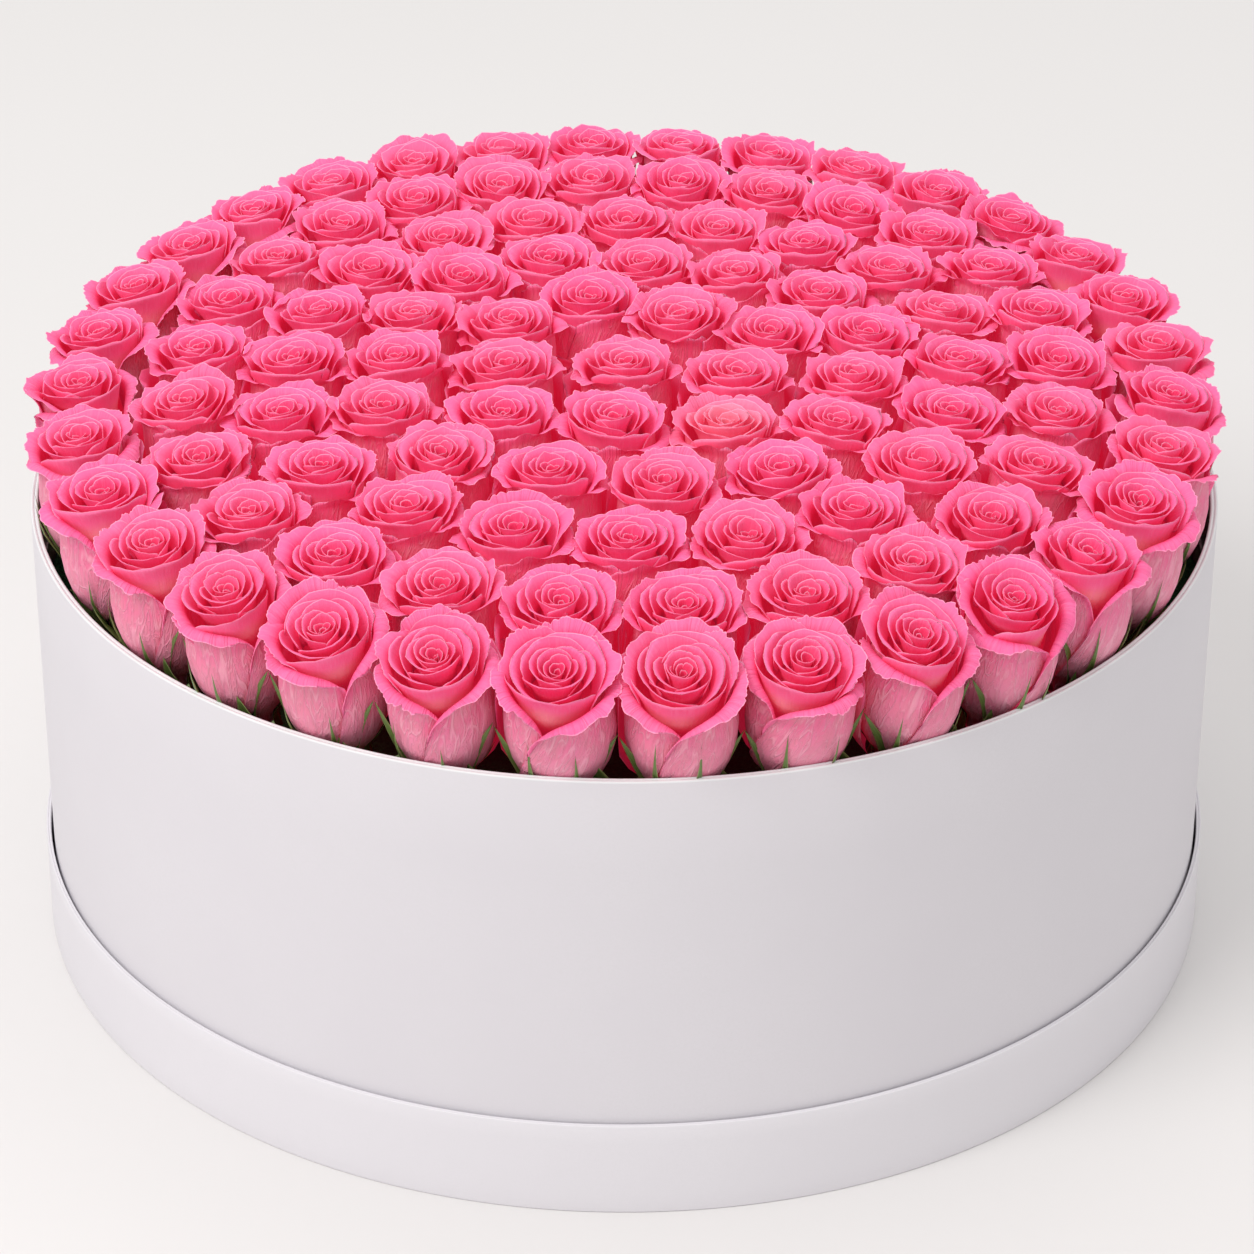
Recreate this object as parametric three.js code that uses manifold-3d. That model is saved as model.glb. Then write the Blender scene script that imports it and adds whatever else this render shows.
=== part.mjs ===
// Rose box: a round board box standing in its upturned lid, packed with a hundred and three cut
// roses in rings. Millimetres, +Z up, origin on the floor under the middle of the box.
import * as THREE from 'three';
import { mergeVertices } from 'three/addons/utils/BufferGeometryUtils.js';
import Module from 'manifold-3d';

const wasm = await Module();
wasm.setup();

// Box, lid, liner and foam
const BOX_RADIUS = 250;
const BOX_BOARD = 2;
const RIM_HEIGHT = 199;
const LID_BOARD = 2;
const LID_CLEARANCE = 1.1;
const LID_HEIGHT = 42;
const LINER_WALL = 1;
const LINER_TOP = 162;
const FOAM_TOP = 150;
const GAP = 0.3;
const ROUND_SIDES = 36;

// Where the heads stand. Each ring runs slightly oval, its heads drift towards one side and crowd
// at the front and the back by its pinch, and the inner rings wave in and out as they nest. Lean
// tips a head outwards. First, drift, pinch and lean are in degrees.
const RINGS = [
  { count: 9, radius: 57.5, wave: 10, oval: 0, first: -16.7, drift: 6, pinch: 0, lean: 0, leanOval: 0 },
  { count: 15, radius: 102.5, wave: 7, oval: 0, first: -12, drift: 6, pinch: 0, lean: 1, leanOval: 0 },
  { count: 20, radius: 145.5, wave: 4.5, oval: 2, first: -1, drift: 3.5, pinch: 1.4, lean: 2.5, leanOval: 0 },
  { count: 26, radius: 189.5, wave: 3, oval: 5, first: -2.3, drift: 5.5, pinch: 2, lean: 5, leanOval: 0 },
  { count: 32, radius: 234, wave: 1, oval: 5, first: 3.5, drift: 3.4, pinch: 1.3, lean: 10.7, leanOval: 5.4 },
];
const DRIFT_SIDE = -10;
const WAVE_SIDE = 32;
const WAVES_ROUND = 4;
const HEAD_SPACING = 41.5;
const CROWD_ROUNDS = 60;
const CROWD_STEP = 0.25;
const LARGEST_GROUP = 3;
const MIDDLE_HEAD = 252.5;
const DOME = 8;
const DOME_RADIUS = 235;
const BACK_RISE = 0.012;

// One head, measured up its own axis from the seat on the green cup. Each row of its skin is fitted
// between the planes to its neighbours; a lip towards a head of the same node reaches past them.
const HEAD_HEIGHT = 72;
const SEAT = { radius: 8, height: 0 };
const HIP = { radius: 17.6, height: 9 };
const BELLY = { radius: 20.4, height: 30 };
const NECK = { radius: 18.8, height: 59 };
const LIP = { radius: 22.8, height: 66.5, flare: 1.2, wave: 1.4 };
const GUARD_FOLD = { radius: 18.4, height: 64.5 };
const CUP_RIM = { radius: 17.4, height: 72.5, flare: 0.8, wave: 0.8 };
const CUP_FOLD = { radius: 13, height: 68.5 };
const BUD_RIM = { radius: 9.6, height: 73.5, flare: 0.7, wave: 0.6 };
const EYE_HEIGHT = 69.5;
const LIP_POINTS = 9;
const CUP_POINTS = 5;
const OUTER_SIDES = 6;
const INNER_SIDES = 5;
const PETALS_IN_WHORL = 3;
const TURN_PER_WHORL = 0.9;
const TURN_PER_HEAD = 2.4;
const LIP_OVERLAP = 1.3;
const PARTNER_SPREAD = 0.44;
const HEAD_CLEARANCE = 0.25;
const PLANE_HEIGHT = 48;
const NEIGHBOUR_REACH = 62;
const WALL_LIMIT = 245.5;
const WALL_FLARE = 0.6;
const FITTING_STEPS = 16;

// Green cup, stem and sepals of each rose
const CUP = { radius: 5.2, height: 8 };
const STEM_RADIUS = 2.8;
const STEM_SIDES = 3;
const STEM_TURN = 0.5;
const STEM_FOOT = 112;
const HOLE_CLEARANCE = 0.7;
const HOLE_OVERRUN = 5.6;
const SEPAL_THICKNESS = 1;
const SEPAL_WIDTH = 4.6;
const SEPAL_ROOT = { radius: 1, height: -3, width: 2 };
const BRIDGE_KNEE = { radius: 19.5, height: 1, width: SEPAL_WIDTH };
const BRIDGE_TIP = { height: 37, width: 1.6 };
const BRIDGE_SHIFT = 22;
const FREE_SEPAL = [
  SEPAL_ROOT,
  { radius: 18.5, height: 2, width: SEPAL_WIDTH },
  { radius: 22.8, height: 40, width: 0 },
];
const FREE_SEPAL_ANGLE = -36;
const SEPAL_SWAY = 5;
const SWAY_STEP = 1.7;
const CENTRE_LINK = 4;

// Finishes
const BOARD = { color: 0xe4e2e7, roughness: 0.55 };
const PETAL = { color: 0xf2679b, roughness: 0.5 };
const GREEN = { color: 0x4c6b2c, roughness: 0.6 };
const FOAM = { color: 0x3f6b46, roughness: 0.95 };
const LINER = { color: 0xd9dedc, roughness: 0.3 };

const radians = THREE.MathUtils.degToRad;
const turnOf = (step, count) => (2 * Math.PI * step) / count;

// Heads on the plan: ring by ring from the rule above, then pushed apart where they stand too near
function headPlan() {
  const plan = [{ ring: 0, x: 0, y: 0 }];
  RINGS.forEach((ring, number) => {
    for (let k = 0; k < ring.count; k += 1) {
      const even = radians(ring.first) + turnOf(k, ring.count);
      const drift = radians(ring.drift) * Math.cos(even - radians(DRIFT_SIDE));
      const angle = even + drift + radians(ring.pinch) * Math.sin(2 * even);
      const nested = ring.wave * Math.cos(WAVES_ROUND * (angle - radians(WAVE_SIDE)));
      const reach = ring.radius + nested - ring.oval * Math.cos(2 * angle);
      plan.push({ ring: number + 1, x: reach * Math.cos(angle), y: reach * Math.sin(angle) });
    }
  });
  for (let round = 0; round < CROWD_ROUNDS; round += 1) {
    const pushes = plan.map((head) => {
      const push = { x: 0, y: 0 };
      for (const other of plan) {
        const away = Math.hypot(head.x - other.x, head.y - other.y);
        if (other !== head && away < HEAD_SPACING) {
          push.x += ((head.x - other.x) * CROWD_STEP * (HEAD_SPACING - away)) / away;
          push.y += ((head.y - other.y) * CROWD_STEP * (HEAD_SPACING - away)) / away;
        }
      }
      return push;
    });
    plan.forEach((head, index) => {
      head.x += pushes[index].x;
      head.y += pushes[index].y;
    });
  }
  return plan;
}

// A head's own frame: X points out of the box, Z up its leaning axis, origin on its green cup
function headFrame(head) {
  const angle = Math.atan2(head.y, head.x);
  const reach = Math.hypot(head.x, head.y);
  const ring = RINGS[head.ring - 1];
  const lean = ring ? radians(ring.lean - ring.leanOval * Math.cos(2 * angle)) : 0;
  const out = new THREE.Vector3(Math.cos(angle), Math.sin(angle), 0);
  const axis = out.clone().multiplyScalar(Math.sin(lean));
  axis.z = Math.cos(lean);
  const side = new THREE.Vector3().crossVectors(axis, out).normalize();
  const front = new THREE.Vector3().crossVectors(side, axis);
  const top = MIDDLE_HEAD - DOME * (reach / DOME_RADIUS) ** 2 + BACK_RISE * head.y;
  const foot = new THREE.Vector3(head.x, head.y, top).addScaledVector(axis, -HEAD_HEIGHT);
  return new THREE.Matrix4().makeBasis(front, side, axis).setPosition(foot);
}

const heads = headPlan().map((head, index) => {
  const frame = headFrame(head);
  return {
    ...head,
    index,
    frame,
    axis: new THREE.Vector3().setFromMatrixColumn(frame, 2),
    foot: new THREE.Vector3().setFromMatrixPosition(frame),
    middle: new THREE.Vector3(0, 0, PLANE_HEIGHT).applyMatrix4(frame),
    turn: index * TURN_PER_HEAD,
  };
});

// Heads that share a node: two by two round each ring, the last three together in an odd ring
function headGroups() {
  const groups = [[heads[0]]];
  RINGS.forEach((ring, number) => {
    const members = heads.filter((head) => head.ring === number + 1);
    while (members.length > LARGEST_GROUP) {
      groups.push(members.splice(0, 2));
    }
    groups.push(members);
  });
  return groups;
}

// The plane halfway between two heads, square to the line between their axes
function planeBetween(head, other) {
  const mean = head.axis.clone().add(other.axis).normalize();
  const normal = other.middle.clone().sub(head.middle);
  normal.addScaledVector(mean, -normal.dot(mean)).normalize();
  const point = head.middle.clone().add(other.middle).multiplyScalar(0.5);
  return { normal, offset: normal.dot(point) };
}

// A closed skin over rows of points, each row once round. A row of one point is a tip, and a first
// or last row of more is closed flat. Rows of different counts are joined by their turn round.
function skin(rows) {
  const points = rows.flatMap((row) => row.points);
  const starts = [];
  let total = 0;
  for (const row of rows) {
    starts.push(total);
    total += row.points.length;
  }
  const faces = [];
  const flatEnd = (start, count, upwards) => {
    for (let k = 1; k < count - 1; k += 1) {
      faces.push(upwards ? [start, start + k, start + k + 1] : [start, start + k + 1, start + k]);
    }
  };
  flatEnd(starts[0], rows[0].points.length, false);
  const at = (level, k) => {
    const { length } = rows[level].points;
    return starts[level] + (((k % length) + length) % length);
  };
  for (let level = 1; level < rows.length; level += 1) {
    const low = rows[level - 1];
    const high = rows[level];
    const lowSteps = low.points.length > 1 ? low.points.length : 0;
    const highSteps = high.points.length > 1 ? high.points.length : 0;
    const shift = Math.round(((low.turn - high.turn) * highSteps) / (2 * Math.PI));
    let i = 0;
    let j = shift;
    while (i < lowSteps || j < highSteps + shift) {
      const nextLow = low.turn + turnOf(i + 1, lowSteps);
      const nextHigh = high.turn + turnOf(j + 1, highSteps);
      if (j === highSteps + shift || (i < lowSteps && nextLow <= nextHigh)) {
        faces.push([at(level - 1, i), at(level - 1, i + 1), at(level, j)]);
        i += 1;
      } else {
        faces.push([at(level - 1, i), at(level, j + 1), at(level, j)]);
        j += 1;
      }
    }
  }
  flatEnd(starts[rows.length - 1], rows[rows.length - 1].points.length, true);
  return { points, faces: faces.flat() };
}

function solidOf({ points, faces }) {
  const vertProperties = new Float32Array(points.flatMap((point) => point.toArray()));
  return new wasm.Manifold(new wasm.Mesh({ numProp: 3, vertProperties, triVerts: new Uint32Array(faces) }));
}

function geometryOf(solid) {
  const mesh = solid.getMesh();
  const geometry = new THREE.BufferGeometry();
  geometry.setAttribute('position', new THREE.BufferAttribute(mesh.vertProperties, mesh.numProp));
  geometry.setIndex(new THREE.BufferAttribute(mesh.triVerts, 1));
  return geometry;
}

function unite(solids) {
  return solids.reduce((joined, solid) => joined.add(solid));
}

// A point in a head's own frame: out from its axis, round from the way out of the box, and up
function pointAt(head, radius, angle, height) {
  const local = new THREE.Vector3(radius * Math.cos(angle), radius * Math.sin(angle), height);
  return local.applyMatrix4(head.frame);
}

// The way from one head to another as an angle in the first one's own frame
function angleTo(head, other) {
  const way = other.middle.clone().sub(head.middle);
  way.transformDirection(head.frame.clone().invert());
  return Math.atan2(way.y, way.x);
}

// Draws a point in towards its axis until it is clear of the wall of the box and of the planes
// between its head and the neighbours
function fittedPoint(head, planes, radius, angle, height) {
  const isFree = (point) => {
    const wall = WALL_LIMIT + WALL_FLARE * Math.max(0, point.z - RIM_HEIGHT);
    return Math.hypot(point.x, point.y) < wall
      && planes.every((plane) => plane.normal.dot(point) < plane.offset - HEAD_CLEARANCE);
  };
  if (isFree(pointAt(head, radius, angle, height))) {
    return pointAt(head, radius, angle, height);
  }
  let low = 0;
  let high = radius;
  for (let step = 0; step < FITTING_STEPS; step += 1) {
    const middle = (low + high) / 2;
    if (isFree(pointAt(head, middle, angle, height))) {
      low = middle;
    } else {
      high = middle;
    }
  }
  return pointAt(head, low, angle, height);
}

// How far a lip reaches: to its own radius, or just past the middle towards a head it is joined to
function lipReach(head, partners, radius, angle, height) {
  return partners.reduce((reach, other) => {
    const apart = Math.acos(Math.cos(angle - angleTo(head, other)));
    if (apart > PARTNER_SPREAD) {
      return reach;
    }
    const plane = planeBetween(head, other);
    const distance = plane.offset - plane.normal.dot(pointAt(head, 0, 0, height));
    return Math.max(reach, (distance + LIP_OVERLAP) / Math.cos(apart));
  }, radius);
}

// Rose head: one skin from the seat up the guard petals to their lips, down into the fold behind
// them, over the rim of the cup of petals and the rim of the bud, and down into the eye
function headSolid(head, members) {
  const partners = members.filter((other) => other !== head);
  const planes = heads
    .filter((other) => !members.includes(other) && other.middle.distanceTo(head.middle) < NEIGHBOUR_REACH)
    .map((other) => planeBetween(head, other));
  const row = (count, form, turn, joined = []) => {
    const points = [];
    for (let k = 0; k < count; k += 1) {
      const angle = turn + turnOf(k, count);
      const petal = Math.cos(PETALS_IN_WHORL * (angle - turn));
      const height = form.height - (form.wave ?? 0) * petal;
      const radius = form.radius + (form.flare ?? 0) * petal;
      points.push(fittedPoint(head, planes, lipReach(head, joined, radius, angle, height), angle, height));
    }
    return { points, turn };
  };
  const outer = head.ring === RINGS.length;
  const sides = outer ? OUTER_SIDES : INNER_SIDES;
  const sideForms = outer ? [SEAT, HIP, BELLY, NECK] : [SEAT, BELLY];
  const lipTurn = partners.length ? angleTo(head, partners[0]) : head.turn;
  const rows = sideForms.map((form) => row(sides, form, head.turn));
  rows.push(row(LIP_POINTS, LIP, lipTurn, partners));
  rows.push(row(CUP_POINTS, GUARD_FOLD, head.turn));
  rows.push(row(CUP_POINTS, CUP_RIM, head.turn + TURN_PER_WHORL));
  rows.push(row(CUP_POINTS, CUP_FOLD, head.turn + TURN_PER_WHORL));
  rows.push(row(CUP_POINTS, BUD_RIM, head.turn + 2 * TURN_PER_WHORL));
  rows.push({ points: [pointAt(head, 0, 0, EYE_HEIGHT)], turn: head.turn });
  return solidOf(skin(rows));
}

// Stem and green cup in one: a straight stem that opens into the cup under the head
function stemSolid(head) {
  const drop = (head.foot.z - STEM_FOOT) / head.axis.z;
  const levels = [[STEM_RADIUS, -drop], [STEM_RADIUS, -CUP.height], [CUP.radius, -GAP]];
  return solidOf(skin(levels.map(([radius, height]) => ringRow(head, radius, height))));
}

function ringRow(head, radius, height) {
  const points = [];
  for (let k = 0; k < STEM_SIDES; k += 1) {
    points.push(pointAt(head, radius, turnOf(k + STEM_TURN, STEM_SIDES), height));
  }
  return { points, turn: 0 };
}

// Sepal: a three-sided blade through its stops, with its keel on the outer side
function bladeSolid(stops, outward) {
  const rows = stops.map(({ point, width }, index) => {
    if (width === 0) {
      return { points: [point], turn: 0 };
    }
    const before = stops[Math.max(0, index - 1)].point;
    const after = stops[Math.min(stops.length - 1, index + 1)].point;
    const along = after.clone().sub(before).normalize();
    const keel = outward.clone().addScaledVector(along, -outward.dot(along)).normalize();
    const side = new THREE.Vector3().crossVectors(keel, along);
    const points = [
      point.clone().addScaledVector(side, width / 2),
      point.clone().addScaledVector(keel, SEPAL_THICKNESS),
      point.clone().addScaledVector(side, -width / 2),
    ];
    return { points, turn: 0 };
  });
  return solidOf(skin(rows));
}

function sepalStop(head, angle, { radius, height, width }) {
  return { point: pointAt(head, radius, angle, height), width };
}

// Two sepals of neighbours that meet tip to tip: in the outer ring they rise in the notch between
// the heads on the side of the wall, and further in, where the heads stand too close, they lie
// straight under them
function sepalBridge(head, next, rising) {
  const shift = rising ? radians(BRIDGE_SHIFT) : 0;
  const here = angleTo(head, next) - shift;
  const there = angleTo(next, head) + shift;
  const reach = head.middle.distanceTo(next.middle) / 2 / Math.cos(shift);
  const stops = [sepalStop(head, here, SEPAL_ROOT)];
  if (rising) {
    const ownTip = pointAt(head, reach, here, BRIDGE_TIP.height);
    const nextTip = pointAt(next, reach, there, BRIDGE_TIP.height);
    stops.push(sepalStop(head, here, BRIDGE_KNEE));
    stops.push({ point: ownTip.lerp(nextTip, 0.5), width: BRIDGE_TIP.width });
    stops.push(sepalStop(next, there, BRIDGE_KNEE));
  }
  stops.push(sepalStop(next, there, SEPAL_ROOT));
  return bladeSolid(stops, head.axis.clone().add(next.axis).normalize().negate());
}

// A sepal that lies free against its own head
function freeSepal(head, angle) {
  const stops = FREE_SEPAL.map((stop) => sepalStop(head, angle, stop));
  return bladeSolid(stops, pointAt(head, 1, angle, -1).sub(head.foot).normalize());
}

// Cups, stems and sepals of one ring, with those of the middle rose in the first
function greensSolid(number) {
  const members = heads.filter((head) => head.ring === number);
  const outer = number === RINGS.length;
  const solids = members.map(stemSolid);
  members.forEach((head, k) => {
    solids.push(sepalBridge(head, members[(k + 1) % members.length], outer));
    if (outer) {
      const sway = SEPAL_SWAY * Math.sin(SWAY_STEP * head.index);
      solids.push(freeSepal(head, radians(FREE_SEPAL_ANGLE + sway)));
    }
  });
  if (number === 1) {
    solids.push(stemSolid(heads[0]));
    solids.push(sepalBridge(heads[0], members[CENTRE_LINK], false));
  }
  return unite(solids);
}

// Foam disc with a plain blind hole for each stem
function foamSolid(radius, floor) {
  const outline = [[0, floor], [radius, floor], [radius, FOAM_TOP], [0, FOAM_TOP]];
  const disc = new THREE.LatheGeometry(outline.map(([x, y]) => new THREE.Vector2(x, y)), ROUND_SIDES);
  disc.rotateX(Math.PI / 2).deleteAttribute('normal');
  disc.deleteAttribute('uv');
  const merged = mergeVertices(disc);
  const block = new wasm.Manifold(new wasm.Mesh({
    numProp: 3,
    vertProperties: merged.attributes.position.array,
    triVerts: new Uint32Array(merged.index.array),
  }));
  const holes = heads.map((head) => {
    const heightAt = (z) => (z - head.foot.z) / head.axis.z;
    const levels = [heightAt(STEM_FOOT) - HOLE_CLEARANCE, heightAt(FOAM_TOP) + HOLE_OVERRUN];
    return solidOf(skin(levels.map((level) => ringRow(head, STEM_RADIUS + HOLE_CLEARANCE, level))));
  });
  return block.subtract(unite(holes));
}

const group = new THREE.Group();

function addMesh(name, geometry, finish, height = 0) {
  const mesh = new THREE.Mesh(geometry, new THREE.MeshStandardMaterial({ ...finish, metalness: 0 }));
  mesh.name = name;
  mesh.position.z = height;
  group.add(mesh);
}

// A round tray or box: closed floor, upright wall, open top
function trayGeometry(radius, board, height) {
  const inner = radius - board;
  const outline = [[0, 0], [radius, 0], [radius, height], [inner, height], [inner, board], [0, board]];
  const points = outline.map(([x, y]) => new THREE.Vector2(x, y));
  return new THREE.LatheGeometry(points, ROUND_SIDES).rotateX(Math.PI / 2);
}

const lidRadius = BOX_RADIUS + LID_CLEARANCE + LID_BOARD;
const boxFloor = LID_BOARD + GAP;
const linerRadius = BOX_RADIUS - BOX_BOARD - GAP;
const linerFloor = boxFloor + BOX_BOARD + GAP;
const foamRadius = linerRadius - LINER_WALL - GAP;
const foamFloor = linerFloor + LINER_WALL + GAP;

addMesh('base_lid', trayGeometry(lidRadius, LID_BOARD, LID_HEIGHT), BOARD);
addMesh('box_body', trayGeometry(BOX_RADIUS, BOX_BOARD, RIM_HEIGHT - boxFloor), BOARD, boxFloor);
addMesh('liner', trayGeometry(linerRadius, LINER_WALL, LINER_TOP - linerFloor), LINER, linerFloor);
addMesh('floral_foam', geometryOf(foamSolid(foamRadius, foamFloor)), FOAM);
RINGS.forEach((ring, index) => {
  addMesh(`greens_ring${index + 1}`, geometryOf(greensSolid(index + 1)), GREEN);
});
const nodesInRing = {};
for (const members of headGroups()) {
  const { ring } = members[0];
  nodesInRing[ring] = (nodesInRing[ring] ?? 0) + 1;
  const name = ring ? `roses_ring${ring}_${String(nodesInRing[ring]).padStart(2, '0')}` : 'rose_centre';
  addMesh(name, geometryOf(unite(members.map((head) => headSolid(head, members)))), PETAL);
}

export default group;
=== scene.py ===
"""Round box of roses: the looks of a board box in its upturned lid, packed with cut roses.

Metres, +Z up, origin on the floor under the middle of the box. Every visible surface is worked out
as whole numpy arrays: a petal is a sheet over two parameters with a thickness, a sepal or a leaf is
a lens carried along a path, and the box, the lid and the liner are profiles turned round an axis.
"""

import math
from collections import namedtuple

import bpy
import numpy as np
from mathutils import Euler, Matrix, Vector


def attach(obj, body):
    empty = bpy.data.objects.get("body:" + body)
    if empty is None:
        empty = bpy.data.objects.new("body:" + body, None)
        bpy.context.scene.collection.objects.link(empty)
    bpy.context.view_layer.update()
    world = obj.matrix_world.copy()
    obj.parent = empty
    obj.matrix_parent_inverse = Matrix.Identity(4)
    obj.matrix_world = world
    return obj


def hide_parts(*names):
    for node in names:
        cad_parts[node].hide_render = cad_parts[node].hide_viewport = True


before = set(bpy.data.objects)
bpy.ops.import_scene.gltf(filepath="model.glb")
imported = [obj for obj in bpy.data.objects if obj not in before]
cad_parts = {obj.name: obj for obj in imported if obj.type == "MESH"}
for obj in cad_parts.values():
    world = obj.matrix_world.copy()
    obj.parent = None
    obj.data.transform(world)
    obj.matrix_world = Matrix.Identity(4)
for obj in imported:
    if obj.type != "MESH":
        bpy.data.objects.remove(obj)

bl_info = {
    "name": "Rose Box",
    "version": (1, 0, 0),
    "blender": (4, 5, 0),
    "location": "View3D > Sidebar > Rose Box",
    "description": "Dresses a round box of roses in petals, sepals and paper",
    "category": "Object",
}

MM = 0.001
SEED = 103

# Where the heads stand: the rule that the frame's heads follow, ring by ring, and then pushed apart
Ring = namedtuple("Ring", "count radius wave oval first drift pinch lean lean_oval")
RINGS = (
    Ring(9, 57.5 * MM, 10 * MM, 0.0, -16.7, 6, 0, 0, 0),
    Ring(15, 102.5 * MM, 7 * MM, 0.0, -12, 6, 0, 1, 0),
    Ring(20, 145.5 * MM, 4.5 * MM, 2 * MM, -1, 3.5, 1.4, 2.5, 0),
    Ring(26, 189.5 * MM, 3 * MM, 5 * MM, -2.3, 5.5, 2, 5, 0),
    Ring(32, 234 * MM, 1 * MM, 5 * MM, 3.5, 3.4, 1.3, 10.7, 5.4),
)
OUTER_RING = len(RINGS)
DRIFT_SIDE = -10
WAVE_SIDE = 32
WAVES_ROUND = 4
HEAD_SPACING = 41.5 * MM
CROWD_ROUNDS = 60
CROWD_STEP = 0.25
MIDDLE_HEAD = 252.5 * MM
DOME = 8 * MM
DOME_RADIUS = 235 * MM
BACK_RISE = 0.012
HEAD_HEIGHT = 72 * MM
PLANE_HEIGHT = 48 * MM
NEIGHBOUR_REACH = 62 * MM
WALL_LIMIT = 245.5 * MM
WALL_FLARE = 0.6
RIM_HEIGHT = 199 * MM


# Meshes and materials

def smoothstep(low, high, value):
    """Nought below low and one above high, with a smooth climb between."""
    share = np.clip((value - low) / (high - low), 0.0, 1.0)
    return share * share * (3.0 - 2.0 * share)


VALUE_KINDS = {1: ("FLOAT", "value"), 3: ("FLOAT_VECTOR", "vector"), 4: ("FLOAT_COLOR", "color")}


def unit(vectors):
    return vectors / np.linalg.norm(vectors, axis=-1, keepdims=True)


def square_to(vectors, axes):
    """The directions of vectors, less what they have along the axes."""
    return unit(vectors - axes * (vectors * axes).sum(axis=-1, keepdims=True))


def mesh_piece(name, points, faces, material, values=None, smooth=True, crease=None):
    """A piece from an array of points and a list of arrays of faces, each array with its own count
    of corners. values holds an array of one, three or four numbers a point, by attribute name. An
    edge between two points where crease is true stays sharp."""
    mesh = bpy.data.meshes.new(name)
    mesh.vertices.add(len(points))
    mesh.vertices.foreach_set("co", np.asarray(points, np.float32).ravel())
    corners = np.concatenate([block.ravel() for block in faces]).astype(np.int32)
    sizes = np.concatenate([np.full(len(block), block.shape[1]) for block in faces])
    starts = np.concatenate([[0], np.cumsum(sizes)[:-1]]).astype(np.int32)
    mesh.loops.add(len(corners))
    mesh.loops.foreach_set("vertex_index", corners)
    mesh.polygons.add(len(sizes))
    mesh.polygons.foreach_set("loop_start", starts)
    mesh.polygons.foreach_set("use_smooth", np.full(len(sizes), smooth))
    mesh.update(calc_edges=True)
    for key, value in (values or {}).items():
        kind, field = VALUE_KINDS[value.shape[1]]
        layer = mesh.attributes.new(key, kind, "POINT")
        layer.data.foreach_set(field, np.asarray(value, np.float32).ravel())
    if crease is not None:
        ends = np.empty(2 * len(mesh.edges), np.int32)
        mesh.edges.foreach_get("vertices", ends)
        layer = mesh.attributes.new("sharp_edge", "BOOLEAN", "EDGE")
        layer.data.foreach_set("value", crease[ends].reshape(-1, 2).all(axis=1))
    if mesh.validate():
        raise RuntimeError(f"{name} came out with faces that had to be mended")
    piece = bpy.data.objects.new(name, mesh)
    bpy.context.scene.collection.objects.link(piece)
    mesh.materials.append(material)
    return piece


def ring_faces(rings, corners, count=1, flipped=False):
    """Faces over rings of points that are followed by two end points: quads from each ring to the
    next and a fan at each end, for count such sets of points."""
    ids = np.arange(rings * corners).reshape(rings, corners)
    after = np.roll(ids, -1, axis=1)
    end = np.full(corners, ids.size)
    quads = np.stack([ids[:-1], after[:-1], after[1:], ids[1:]], axis=-1).reshape(-1, 4)
    low = np.stack([end, after[0], ids[0]], axis=-1)
    high = np.stack([end + 1, ids[-1], after[-1]], axis=-1)
    fans = np.concatenate([low, high])
    if flipped:
        quads, fans = quads[:, [0, 3, 2, 1]], fans[:, [0, 2, 1]]
    step = (ids.size + 2) * np.arange(count)[:, None, None]
    return [(quads + step).reshape(-1, 4), (fans + step).reshape(-1, 3)]


def joined(parts):
    """Several sets of points, face arrays and attribute rows as one."""
    starts = np.cumsum([0] + [len(part[0]) for part in parts[:-1]])
    faces = [block + first for part, first in zip(parts, starts) for block in part[1]]
    points = np.concatenate([part[0] for part in parts])
    return points, faces, np.concatenate([part[2] for part in parts])


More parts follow.
